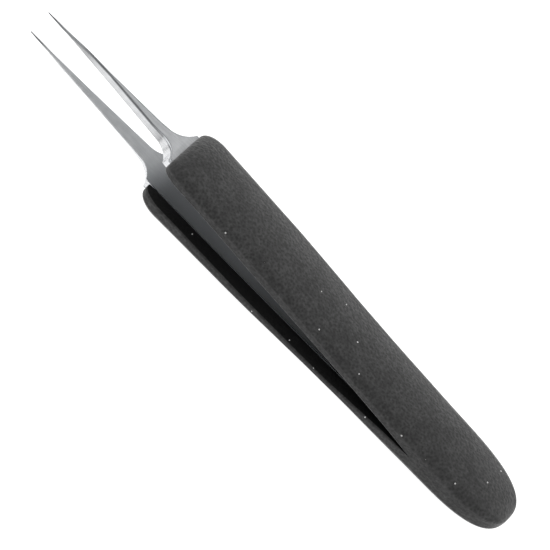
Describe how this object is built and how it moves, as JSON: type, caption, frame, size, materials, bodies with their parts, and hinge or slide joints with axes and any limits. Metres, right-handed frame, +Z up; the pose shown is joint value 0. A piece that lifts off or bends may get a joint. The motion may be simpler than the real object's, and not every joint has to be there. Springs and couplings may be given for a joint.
{
  "type": "precision tweezers",
  "caption": "Straight fine-point precision tweezers: steel spring blades ground to needle points, with a soft black foam grip over both arms and a closed, rounded tail.",
  "frame": {"origin": "centre of the tweezers' box at the level of the bench they lie on", "axes": "+X from the points towards the tail, +Z up, which is the way the arms open within 3 degrees, Y across the blades"},
  "size_m": [0.12, 0.0142, 0.0145],
  "materials": {
    "blade_steel": "satin",
    "grip_foam": "matte"
  },
  "bodies": {
    "tail": {"tail_grip": "grip_foam", "upper_blade_tang": "blade_steel", "lower_blade_tang": "blade_steel"},
    "upper_arm": {"upper_blade": "blade_steel", "upper_grip_pad": "grip_foam"},
    "lower_arm": {"lower_blade": "blade_steel", "lower_grip_pad": "grip_foam"}
  },
  "joints": [
    {"name": "upper_arm_flex", "type": "hinge", "parent": "tail", "child": "upper_arm", "pos_m": [0.04002, 0, 0.00433], "axis": [0, -1, 0], "range_deg": [0, 1.77], "stiffness_Nm_per_rad": 1.6},
    {"name": "lower_arm_flex", "type": "hinge", "parent": "tail", "child": "lower_arm", "pos_m": [0.04002, 0, 0.00433], "axis": [0, 1, 0], "range_deg": [0, 1.77], "stiffness_Nm_per_rad": 1.6}
  ],
  "couplings": [
    {"joint": "lower_arm_flex", "follows": "upper_arm_flex", "ratio": 1}
  ]
}
